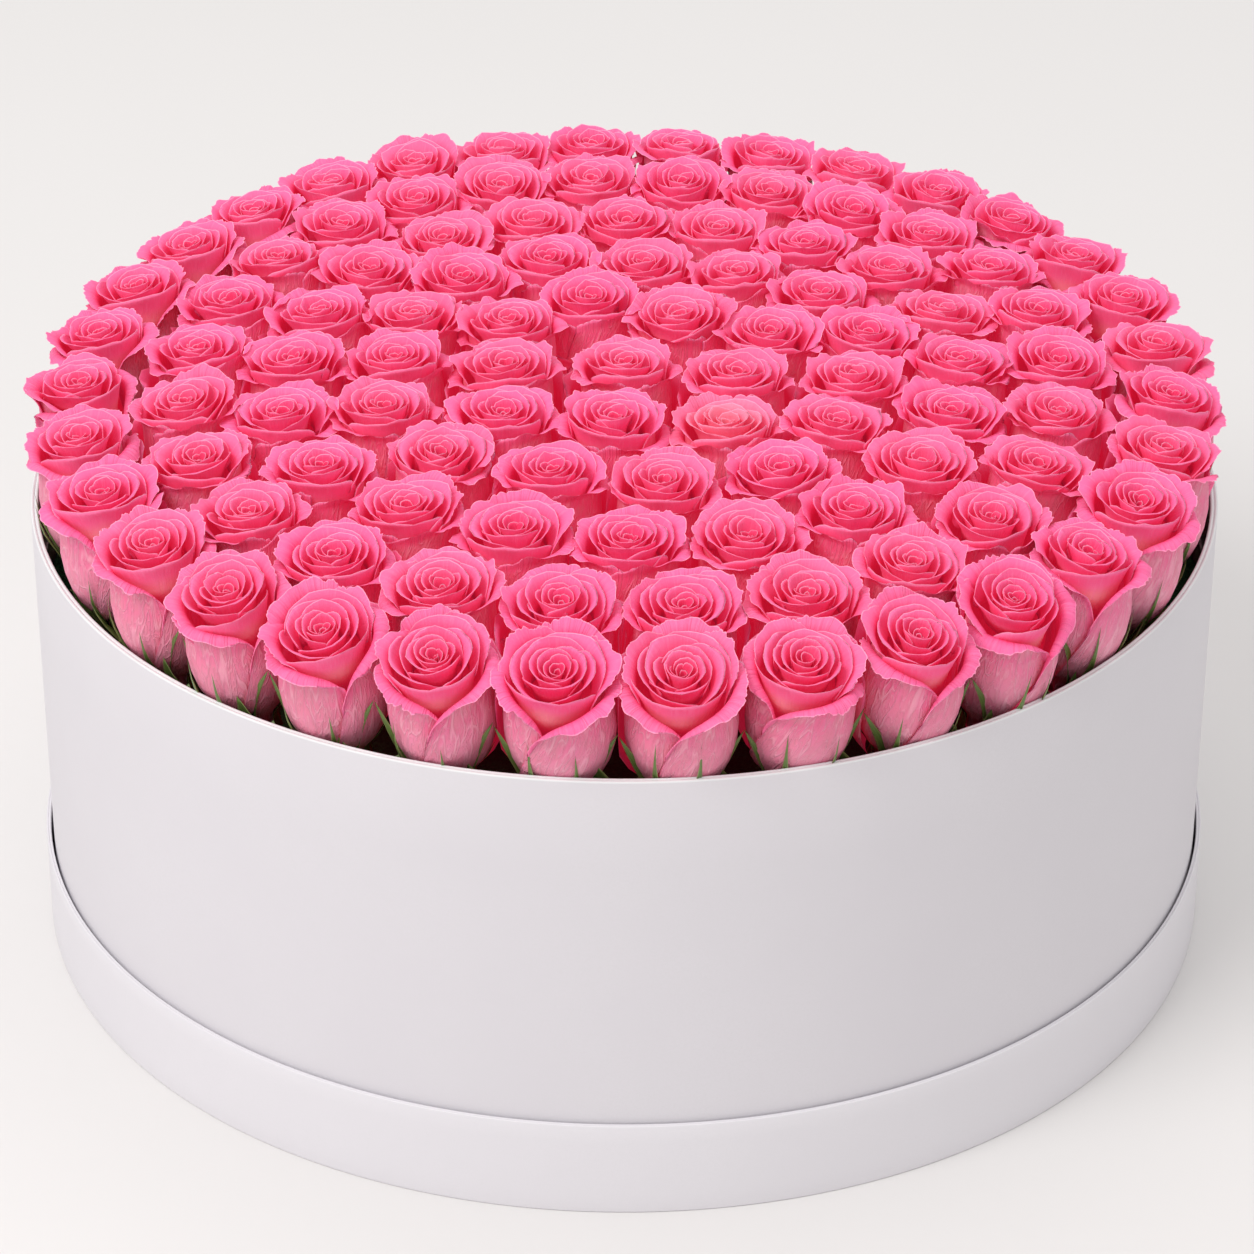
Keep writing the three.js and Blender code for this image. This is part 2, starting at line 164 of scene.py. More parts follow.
class Finish:
    """A material that is put together node by node. An input is a number, a colour or the output
    of an earlier node."""

    def __init__(self, name):
        self.material = bpy.data.materials.new(name)
        self.material.use_nodes = True
        self.tree = self.material.node_tree
        self.tree.nodes.clear()

    def node(self, kind, inputs, **settings):
        node = self.tree.nodes.new(kind)
        for key, value in settings.items():
            setattr(node, key, value)
        for key, value in inputs.items():
            if isinstance(value, bpy.types.NodeSocket):
                self.tree.links.new(value, node.inputs[key])
            else:
                node.inputs[key].default_value = value
        return node

    def math(self, operation, *values):
        inputs = dict(enumerate(values))
        return self.node("ShaderNodeMath", inputs, operation=operation).outputs[0]

    def times(self, first, second):
        return self.math("MULTIPLY", first, second)

    def most(self, first, *others):
        for other in others:
            first = self.math("MAXIMUM", first, other)
        return first

    def mix(self, factor, *colours):
        """A mix of two colours. In the node they are the third pair of inputs."""
        inputs = {"Factor": factor}
        for socket, colour in zip((6, 7), colours):
            plain = not isinstance(colour, bpy.types.NodeSocket)
            inputs[socket] = (*colour, 1.0) if plain else colour
        return self.node("ShaderNodeMix", inputs, data_type="RGBA").outputs[2]

    def layered(self, colour, *layers):
        """A colour with others laid over it in turn, each given by its share and its tint."""
        for share, tint in layers:
            colour = self.mix(share, colour, tint)
        return colour

    def ramp(self, value, low, high, start=0.0, end=1.0):
        inputs = {"Value": value, 1: low, 2: high, 3: start, 4: end}
        return self.node("ShaderNodeMapRange", inputs, interpolation_type="SMOOTHSTEP").outputs[0]

    def noise(self, place, scale, detail, roughness, distortion=0.0):
        inputs = {"Vector": place, "Scale": scale, "Detail": detail}
        inputs.update(Roughness=roughness, Distortion=distortion)
        return self.node("ShaderNodeTexNoise", inputs).outputs["Fac"]

    def place(self, scale=(1.0, 1.0, 1.0)):
        position = self.node("ShaderNodeTexCoord", {}).outputs["Object"]
        return self.node("ShaderNodeMapping", {"Vector": position, "Scale": scale}).outputs[0]

    def attribute(self, name):
        """The three numbers and the alpha of an attribute."""
        read = self.node("ShaderNodeAttribute", {}, attribute_name=name)
        split = self.node("ShaderNodeSeparateXYZ", {"Vector": read.outputs["Vector"]})
        return (*split.outputs, read.outputs["Alpha"])

    def bump(self, height, strength, distance):
        inputs = {"Height": height, "Strength": strength, "Distance": distance}
        return self.node("ShaderNodeBump", inputs).outputs[0]

    def surface(self, **inputs):
        self.material.cycles.emission_sampling = "NONE"
        named = {key.replace("_", " "): value for key, value in inputs.items()}
        shader = self.node("ShaderNodeBsdfPrincipled", named)
        self.node("ShaderNodeOutputMaterial", {0: shader.outputs[0]})
        return self.material


# Where every head stands and how it leans

Heads = namedtuple("Heads", "ring place foot front side axis middle")


def head_plan():
    """Ring and plan position of each head: even steps round the ring that drift to one side and
    crowd at the front and the back, on a reach that waves and runs oval, and then near heads push
    apart."""
    ring = [0]
    place = [np.zeros((1, 2))]
    for number, row in enumerate(RINGS, 1):
        even = math.radians(row.first) + np.arange(row.count) * math.tau / row.count
        drift = math.radians(row.drift) * np.cos(even - math.radians(DRIFT_SIDE))
        angle = even + drift + math.radians(row.pinch) * np.sin(2 * even)
        wave = row.wave * np.cos(WAVES_ROUND * (angle - math.radians(WAVE_SIDE)))
        reach = row.radius + wave - row.oval * np.cos(2 * angle)
        ring += [number] * row.count
        place.append(np.stack([reach * np.cos(angle), reach * np.sin(angle)], axis=1))
    place = np.concatenate(place)
    for _ in range(CROWD_ROUNDS):
        gap = place[:, None] - place[None]
        away = np.linalg.norm(gap, axis=2)
        np.fill_diagonal(away, HEAD_SPACING)
        push = CROWD_STEP * np.maximum(HEAD_SPACING - away, 0.0) / away
        place = place + (gap * push[..., None]).sum(axis=1)
    return np.array(ring), place


def head_frames():
    """Each head's own frame: front points out of the box, axis up the leaning head, and foot is
    where the head sits on its green cup."""
    ring, place = head_plan()
    angle = np.arctan2(place[:, 1], place[:, 0])
    reach = np.linalg.norm(place, axis=1)
    leans = np.array([(0.0, 0.0)] + [(row.lean, row.lean_oval) for row in RINGS])
    lean = np.radians(leans[ring, 0] - leans[ring, 1] * np.cos(2 * angle))
    out = np.stack([np.cos(angle), np.sin(angle), np.zeros(len(ring))], axis=1)
    up = np.array([0.0, 0.0, 1.0])
    axis = out * np.sin(lean)[:, None] + up * np.cos(lean)[:, None]
    side = unit(np.cross(axis, out))
    front = np.cross(side, axis)
    top = MIDDLE_HEAD - DOME * (reach / DOME_RADIUS) ** 2 + BACK_RISE * place[:, 1]
    foot = np.column_stack([place, top]) - axis * HEAD_HEIGHT
    return Heads(ring, place, foot, front, side, axis, foot + axis * PLANE_HEIGHT)


def head_groups(heads):
    """The heads of each node of the frame: the middle one, and then pairs round each ring, with
    the last three together where the ring is odd."""
    groups = {"rose_centre": [0]}
    for number in range(1, OUTER_RING + 1):
        members = np.flatnonzero(heads.ring == number)
        pairs = np.split(members, np.arange(2, len(members) - 1, 2))
        for count, group in enumerate(pairs, 1):
            groups[f"roses_ring{number}_{count:02d}"] = group
    return groups


def planes_round(heads, index):
    """The planes halfway to the head's neighbours, square to the line between the two axes."""
    away = np.linalg.norm(heads.middle - heads.middle[index], axis=1)
    near = np.flatnonzero((away > 0) & (away < NEIGHBOUR_REACH))
    mean = unit(heads.axis[near] + heads.axis[index])
    normal = square_to(heads.middle[near] - heads.middle[index], mean)
    offset = (normal * (heads.middle[near] + heads.middle[index]) / 2).sum(axis=1)
    return normal, offset


# Petals

Petals = namedtuple(
    "Petals",
    "angle sweep half narrow foot fold droop corner slant girth offset twist tuck opening bed wave "
    "curl calm length taper point ruffle teeth layer tone",
)
PETAL_LENGTHS = (
    "foot fold droop corner slant offset twist tuck bed wave length point ruffle teeth".split()
)

BELLY_HEIGHT = 43 * MM
BELLY_REACH = 28 * MM
BELLY_RADIUS = 20.6 * MM
HIP_RADIUS = 7 * MM
BARREL = 2.0
NECK_START = 44 * MM
NECK_HEIGHT = 62 * MM
NECK_RADIUS = 18.4 * MM
BED_TOP = 2 * MM
BED_DEPTH = 6 * MM
BACK_OPENING = 0.12
PETAL_THICKNESS = 0.42 * MM
LEAST_RADIUS = 0.15 * MM
BEND_STEPS = 10
EDGE_CROWDING = 1.25
BORDER = 0.5
CUP_LAYER = 0.12
GUARD_KINDS = (2, 1, 2, 3)
MAIN_GUARDS = 5
CUP_PETALS = 5
BUD_PETALS = 13
FIFTHS = math.radians(144)


def head_profile(height):
    """Radius of the closed head at a height: a slim hip on the green cup, a bowl as a superellipse
    from the hip up to the belly, and above it a neck that is drawn in a little."""
    low = np.clip((BELLY_HEIGHT - height) / BELLY_REACH, 0.0, 0.999)
    bowl = HIP_RADIUS + (BELLY_RADIUS - HIP_RADIUS) * (1.0 - low**BARREL) ** (1.0 / BARREL)
    return bowl - (BELLY_RADIUS - NECK_RADIUS) * smoothstep(NECK_START, NECK_HEIGHT, height)


def rolled(arc, length, curl):
    """How far out and up a lip gets along its arc, as sums over short steps: it leaves the fold
    upright and turns over by the curl, fast at first and then slower."""
    out = 0.0
    up = 0.0
    for step in range(BEND_STEPS):
        left = 1.0 - np.minimum(arc * (step + 0.5) / BEND_STEPS / length, 1.0)
        slope = curl * (1.0 - left**2)
        out = out + np.sin(slope) * arc / BEND_STEPS
        up = up + np.cos(slope) * arc / BEND_STEPS
    return out, up


def petal_sheets(petals, phase, across, along, notch):
    """Petals as sheets over two parameters: across from -1 to 1 round the head, and along from 0 at
    the foot to 1 at the fold and 2 at the edge. A column climbs on the head's profile, or on a cup
    that opens with height and closes at its bed, and then rolls outwards, less at the front by the
    calm. The fold sinks to the corners by a square and a sixth power, and notch changes the lip's
    length. Returns the points, and how far across, from the edge and up the petal each one is."""
    p = Petals(*(np.asarray(value, float).reshape(-1, 1, 1) for value in petals))
    s = across.reshape(1, -1, 1)
    t = along.reshape(1, 1, -1)
    body = np.minimum(t, 1.0)
    lip = np.maximum(t - 1.0, 0.0)
    fold = p.fold + p.slant * s - p.droop * s**2 - p.corner * s**6
    length = p.length * (1.0 - p.taper * s**2) + p.point * np.exp(-((s / 0.16) ** 2))
    arc = (length + p.teeth * notch) * lip
    wobble = 1.0 + 0.2 * np.sin(3.1 * s + phase[0]) + 0.12 * np.sin(8.3 * s + phase[1])
    calm = 1.0 - p.calm * (0.5 + 0.5 * np.cos(p.angle + p.half * s)) ** 3
    out, up = rolled(arc, length, p.curl * calm * (1.0 - s**4) * wobble)
    ruffle = np.sin(6.3 * s + phase[1]) + 0.7 * np.sin(17.0 * s + phase[2])
    flat = p.foot + (fold - p.foot) * body
    depth = fold - flat + length * (1.0 - lip)
    theta = p.angle + p.half * (p.narrow + (1.0 - p.narrow) * smoothstep(-0.2, 0.28, body)) * s
    theta = theta + p.sweep * (1.0 - body)
    opening = p.opening - BACK_OPENING * np.cos(theta)
    cup = p.offset + opening * (flat - fold) - p.bed * smoothstep(BED_TOP, BED_DEPTH, depth)
    radius = np.where(p.girth > 0, head_profile(flat) + p.offset, cup)
    radius = radius - p.tuck * np.abs(s) ** 3 * smoothstep(0.1, 0.6, body)
    sway = p.twist * s + p.wave * np.sin(2.7 * s + phase[2])
    radius = radius + sway * smoothstep(0.2, 1.0, body)
    radius = np.maximum(radius + out, LEAST_RADIUS)
    height = flat + up + p.ruffle * ruffle * lip**2
    points = np.stack([radius * np.cos(theta), radius * np.sin(theta), height], axis=-1)
    return points, (np.broadcast_to(s, depth.shape), depth, np.broadcast_to(body, depth.shape))


def shells(points, edge):
    """Thin closed shells from sheets moved out and in along their normals by half the thickness.
    Both sides share the border and an edge row that has several points for each column, and are
    split alike into triangles, so that they never cross. Returns the points, the triangles, which
    point of the sheet and the edge each point is, and whether it lies inside."""
    count, wide, high = points.shape[:3]
    split = (edge.shape[1] - 1) // (wide - 1)
    whole = np.concatenate([points, edge[:, ::split]], axis=2)
    normal = np.cross(np.gradient(whole, axis=1), np.gradient(whole, axis=2))[:, :, :-1]
    normal /= np.maximum(np.linalg.norm(normal, axis=-1, keepdims=True), 1e-12)
    inner = np.zeros((wide, high), bool)
    inner[1:-1, 1:] = True
    half = np.where(inner, PETAL_THICKNESS / 2, 0.0)[None, ..., None]
    outside = np.arange(wide * high).reshape(wide, high)
    doubled = np.flatnonzero(inner.ravel())
    inside = outside.copy()
    inside.ravel()[doubled] = wide * high + np.arange(len(doubled))
    rim = inside.max() + 1 + np.arange(edge.shape[1])
    source = np.concatenate([np.arange(wide * high), doubled, wide * high + np.arange(len(rim))])
    within = np.concatenate(
        [np.where(inner.ravel(), 0.0, BORDER), np.ones(len(doubled)), np.full(len(rim), BORDER)]
    )
    flat_out = (points + normal * half).reshape(count, -1, 3)
    flat_in = (points - normal * half).reshape(count, -1, 3)[:, doubled]
    joined_points = np.concatenate([flat_out, flat_in, edge.reshape(count, -1, 3)], axis=1)

    columns = np.arange(wide - 1)
    first_half = columns[:, None] < wide // 2

    def halves(grid):
        a, b, c, d = grid[:-1, :-1], grid[1:, :-1], grid[1:, 1:], grid[:-1, 1:]
        low = np.stack([a, b, np.where(first_half, c, d)], axis=-1)
        high = np.stack([np.where(first_half, a, b), c, d], axis=-1)
        return np.concatenate([low.reshape(-1, 3), high.reshape(-1, 3)])

    marks = rim[columns[:, None] * split + np.arange(split + 1)]
    pivot = np.full(wide - 1, (split + 1) // 2)
    pivot[[0, -1]] = 0, split

    def fans(grid):
        left, right = grid[:-1, -1], grid[1:, -1]
        parts = [np.stack([left, right, marks[columns, pivot]], axis=-1)]
        for step in range(split):
            base = np.where(step < pivot, left, right)
            parts.append(np.stack([base, marks[:, step + 1], marks[:, step]], axis=-1))
        return np.concatenate(parts)

    step = joined_points.shape[1] * np.arange(count)[:, None, None]
    outer_side = np.concatenate([halves(outside), fans(outside)])
    inner_side = np.concatenate([halves(inside), fans(inside)])[:, ::-1]
    faces = (np.concatenate([outer_side, inner_side])[None] + step).reshape(-1, 3)
    return joined_points.reshape(-1, 3), faces, source, within


def notches(draw, count, across):
    """The ragged outline of each lip: a few rounded lobes, small scallops that come and go along
    it, and fine random teeth on top."""
    phase = draw.uniform(0, math.tau, (4, count, 1, 1))
    s = across.reshape(1, -1, 1)
    lobes = np.abs(np.sin(6.5 * s + 0.9 * np.sin(3.7 * s + phase[0]) + phase[1])) - 0.6
    scallops = np.abs(np.sin(19.0 * s + 1.4 * np.sin(5.1 * s + phase[1]) + phase[2])) - 0.6
    swell = 0.55 + 0.45 * np.sin(4.3 * s + phase[3])
    return lobes + swell * (scallops + 0.45 * draw.uniform(-1.0, 1.0, (count, len(across), 1)))


def petal_set(**fields):
    """Petals from arrays or single numbers, with lengths in millimetres. A field that isn't given
    is nought."""
    count = len(fields["angle"])
    for name in Petals._fields:
        value = np.zeros(count) + fields.get(name, 0.0)
        fields[name] = value * MM if name in PETAL_LENGTHS else value
    return Petals(**fields)


def guard_petals(draw, spread, sink, calm):
    """The outer petals: two wide ones that meet in a V at the front, a third behind, two under them
    at the sides, and three loose ones round the back. spread scales how far the lips roll, sink how
    deep the V dips, and calm keeps the lips at the front upright."""

    def kinds(*values):
        return np.repeat(values, GUARD_KINDS)

    count = sum(GUARD_KINDS)
    deep = kinds(sink, 1.0, 1.0, 1.0)
    roll = np.array([2.0, 2.0, 1.4, 1.15, 1.2, 1.1, 1.1, 1.3]) * spread
    return petal_set(
        angle=np.radians([60, -67, 178, 118, -112, 112, -114, 180]) + draw.normal(0, 0.09, count),
        sweep=np.radians([-48, -20, 0, 0, 0, 0, 0, 0]) * draw.uniform(0.5, 1.2, count),
        half=np.radians([73, 75, 62, 56, 58, 36, 36, 42]) * draw.uniform(0.95, 1.05, count),
        narrow=kinds(0.55, 0.5, 0.5, 0.6),
        foot=[4.0, 4.3, 4.3, 26.0, 26.0, 10.0, 10.0, 10.0],
        fold=[64.3, 64.3, 64.6, 65.6, 65.6, 56.0, 56.0, 58.0] + draw.normal(0, 0.7, count),
        droop=kinds(6.5, 2.5, 3.0, 3.0) * deep,
        corner=kinds(15.0, 9.0, 7.0, 6.0) * deep,
        slant=draw.normal(0, 0.6, count),
        girth=1.0,
        offset=[1.0, -0.3, -0.7, -1.5, -1.6, 4.2, 4.2, 4.6],
        twist=draw.normal(0, 0.1, count),
        tuck=[0.0, 0.9, 0.0, 0.0, 0.0, 0.3, 0.3, 0.3],
        wave=draw.uniform(0, 0.12, count),
        curl=roll * draw.uniform(0.85, 1.12, count),
        calm=calm,
        length=[7.2, 7.2, 8.8, 8.2, 8.2, 5.5, 5.5, 6.5] * draw.uniform(0.9, 1.1, count),
        taper=kinds(0.68, 0.4, 0.4, 0.4),
        point=draw.uniform(0.2, 1.7, count),
        ruffle=kinds(0.8, 0.7, 0.7, 0.9),
        teeth=kinds(0.95, 0.95, 0.85, 0.8),
        layer=kinds(0.0, 0.03, 0.07, 0.11),
        tone=draw.uniform(0, 1, count),
    )


def skirt_petals(loose, draw):
    """The low outermost petals of a head that stands among others: three wide ones made from the
    loose ones, which fill the gap to the neighbours well under the lips."""
    count = len(loose.angle)
    return loose._replace(
        angle=math.tau / 3 * np.arange(count) + draw.normal(0, 0.12, count),
        half=math.radians(66),
        foot=8 * MM,
        fold=(46 + draw.normal(0, 1.5, count)) * MM,
        droop=1 * MM,
        corner=4 * MM,
        offset=5.5 * MM,
        curl=draw.uniform(0.9, 1.4, count),
        calm=0.0,
        length=draw.uniform(6, 8, count) * MM,
    )


def wound_petals(draw, first, last):
    """Some of the petals inside the guards, numbered inwards: each stands two fifths of a turn on
    from the one before and closer to the axis. The innermost sink to a low eye."""
    step = np.arange(first, last)
    count = len(step)
    share = step / (CUP_PETALS + BUD_PETALS - 1)
    loose = 1.0 - share
    return petal_set(
        angle=math.radians(2) + FIFTHS * step + draw.normal(0, 0.16, count) * np.minimum(step, 1),
        half=np.radians(80 + 34 * share) * draw.uniform(0.84, 1.1, count),
        narrow=0.85,
        foot=np.where(step == 0, 48.0, 60.0 + 2.0 * share),
        fold=69.3 + 2.6 * np.sin(2.4 * share) - 5.0 * share**4 + draw.normal(0, 0.45, count),
        droop=(2.4 - 1.4 * share) * draw.uniform(0.5, 1.5, count),
        corner=3.4 - 2.4 * share,
        slant=draw.normal(0, 0.7, count),
        offset=0.9 + 16.6 * loose**1.45 + draw.normal(0, 0.2, count) * loose,
        twist=(-1.0 + 0.5 * share) * draw.uniform(0.6, 1.4, count),
        opening=0.15 - 0.18 * share,
        bed=2.4 - 1.5 * share,
        wave=draw.uniform(0.2, 0.8, count) * loose,
        curl=np.where(step == 0, 0.4, 1.0 - 0.4 * share) * draw.uniform(0.7, 1.25, count),
        length=(2.9 - 1.8 * share) * draw.uniform(0.85, 1.25, count),
        taper=0.25,
        point=(0.9 - 0.7 * share) * draw.uniform(0.2, 1.5, count),
        ruffle=0.35 - 0.25 * share,
        teeth=0.25 - 0.15 * share,
        layer=0.14 + 0.86 * share,
        tone=draw.uniform(0, 1, count),
    )


LIP_LEAST = 58 * MM
LIP_MOST = 65 * MM
LIP_PASS = 2.6 * MM
PLANE_GAP = 0.2 * MM
SQUEEZE = 0.25


def fitted(points, heads, index, height):
    """Points pressed back where they would pass the plane to a neighbour or the wall of the box:
    all but a share of what is past it is taken off, and the lips may pass by a little."""
    slack = LIP_PASS * smoothstep(LIP_LEAST, LIP_MOST, height)
    for normal, offset in zip(*planes_round(heads, index)):
        past = points @ normal - (offset - PLANE_GAP + slack)
        points = points - normal * (np.maximum(past, 0.0) * (1.0 - SQUEEZE))[:, None]
    reach = np.linalg.norm(points[:, :2], axis=1)
    wall = WALL_LIMIT + WALL_FLARE * np.maximum(points[:, 2] - RIM_HEIGHT, 0.0)
    shrink = np.where(reach > wall, (wall + SQUEEZE * (reach - wall)) / reach, 1.0)
    points[:, :2] *= shrink[:, None]
    return points


CAMERA_SIDE = math.radians(-90)
FACING_SPREAD = 0.42
MIDDLE_TIP = 0.05
FRONT_TIP = 0.06
BACK_TIP = 0.2
TIP_ROWS = (0.35, 1.0)
INNER_SINK = 0.12
INNER_CALM = 0.75
ROLLED_WIDTH = 0.55
BEHIND = 2 * MM
WALL_SIDE = -0.35
WALL_OFFSET = -3 * MM
PEACH = 2.0
PEACH_HEAD = 9
TIP_START = 42 * MM
TIP_WHOLE = 66 * MM
# How far from the middle the petals carry the painted red glow that lifts the shade of the inner
# rings, and how strong that glow is
SHELTER = (208 * MM, 198 * MM)
PAINTED_GLOW = 0.12
TONE_STEP = 20.0

# Columns and rows of the sheets of guard, loose, cup, bud and skirt petals, and points of edge for
# each column. The outer heads, with the fine ones, have no skirt.
Grain = namedtuple("Grain", "columns rows split")
FOUR_ROWS = (0.0, 0.5, 1.0, 1.5)
FINE = (
    Grain(25, (0.0, 0.12, 0.24, 0.34, 0.44, 0.56, 0.7, 0.85, 1.0, 1.2, 1.4, 1.6, 1.82), 4),
    Grain(10, (0.0, 0.25, 0.45, 0.7, 1.0, 1.5), 1),
    Grain(19, FOUR_ROWS, 1),
    Grain(15, FOUR_ROWS, 1),
)
COARSE = (
    Grain(20, (0.0, 0.45, 0.85, 1.05, 1.35, 1.7), 3),
    Grain(8, (0.0, 0.4, 0.75, 1.2), 1),
    Grain(15, FOUR_ROWS, 1),
    Grain(13, FOUR_ROWS, 1),
    Grain(8, FOUR_ROWS, 1),
)


def petal_shells(petals, grain, draw):
    """The shells of one kind of petals, and for each point how far across the petal, from its edge
    and up it the point lies, the petal's layer, the point's side and the petal's tone."""
    count = len(petals.angle)
    bend = np.linspace(-1, 1, grain.columns)
    fine_bend = np.linspace(-1, 1, (grain.columns - 1) * grain.split + 1)
    across, edge_across = (
        np.sin(part * EDGE_CROWDING) / math.sin(EDGE_CROWDING) for part in (bend, fine_bend)
    )
    phase = draw.uniform(0, math.tau, (3, count, 1, 1))
    notch = notches(draw, count, edge_across)
    coarse = notch[:, :: grain.split] * 0.5
    sheet, places = petal_sheets(petals, phase, across, np.array(grain.rows), coarse)
    edge, edge_places = petal_sheets(petals, phase, edge_across, np.array([2.0]), notch)
    local, faces, source, within = shells(sheet, edge)
    columns = [
        np.concatenate([part.reshape(count, -1), end.reshape(count, -1)], axis=1)[:, source].ravel()
        for part, end in zip(places, edge_places)
    ]
    layer, tone = (np.repeat(field, len(source)) for field in (petals.layer, petals.tone))
    return local, [faces], np.column_stack([*columns, layer, np.tile(within, count), tone])


def opening_tip(heads, index):
    """How far the opening tips past the head's own lean, as a slope in plan: towards the front in
    the front rows, and back towards level in the rows behind."""
    y = heads.place[index, 1] / RINGS[-1].radius
    slope = FRONT_TIP * smoothstep(*TIP_ROWS, -y) + BACK_TIP * smoothstep(*TIP_ROWS, y)
    return np.array([0.0, -float(MIDDLE_TIP + slope)])


def rose_head(heads, index, grains):
    """One rose: its guard, cup and bud petals in the head's own frame, turned so that the V of the
    guards looks roughly forwards, its opening tipped, and the whole pressed between neighbours."""
    draw = np.random.default_rng(SEED * 1000 + int(index))
    outer = heads.ring[index] == OUTER_RING
    outwards = math.atan2(heads.place[index, 1], heads.place[index, 0]) if index else 0.0
    facing = CAMERA_SIDE - outwards + draw.normal(0, FACING_SPREAD)
    spread = draw.uniform(0.88, 1.08)
    cup = wound_petals(draw, 0, CUP_PETALS)
    bud = wound_petals(draw, CUP_PETALS, CUP_PETALS + BUD_PETALS)
    sink, calm = (1.0, 0.0) if outer else (INNER_SINK, INNER_CALM)
    every = guard_petals(draw, spread, sink, calm)
    guards = Petals(*(field[:MAIN_GUARDS] for field in every))
    loose = Petals(*(field[MAIN_GUARDS:] for field in every))
    if outer:
        walled = np.cos(loose.angle + facing) > WALL_SIDE
        loose = loose._replace(offset=np.where(walled, WALL_OFFSET, loose.offset))
    kinds = (guards, loose, cup, bud, skirt_petals(loose, draw))
    local, faces, values = joined([petal_shells(*kind, draw) for kind in zip(kinds, grains)])
    size = draw.uniform(0.97, 1.035)
    cos, sin = math.cos(facing), math.sin(facing)
    local[:, :2] = local[:, :2] @ np.array([[cos, sin], [-sin, cos]]) * size
    basis = np.column_stack([heads.front[index], heads.side[index], heads.axis[index]])
    tip = opening_tip(heads, index) + draw.normal(0, 0.035, 2)
    level = local[:, 2].copy()
    flat = local[:, :2] @ basis[:2, :2].T
    local[:, 2] -= smoothstep(TIP_START, TIP_WHOLE, level) * (flat @ tip)
    world = local @ basis.T + heads.foot[index]
    own = PEACH if index == PEACH_HEAD else draw.uniform(0, 1)
    rolled_lip = (values[:, 3] < CUP_LAYER) & (np.abs(values[:, 0]) < ROLLED_WIDTH)
    behind = world[:, 1] > heads.middle[index, 1] + BEHIND
    crease = (values[:, 4] == BORDER) & (rolled_lip | behind)
    values = np.column_stack([values, np.full(len(values), own), crease])
    return fitted(world, heads, index, level), faces, values


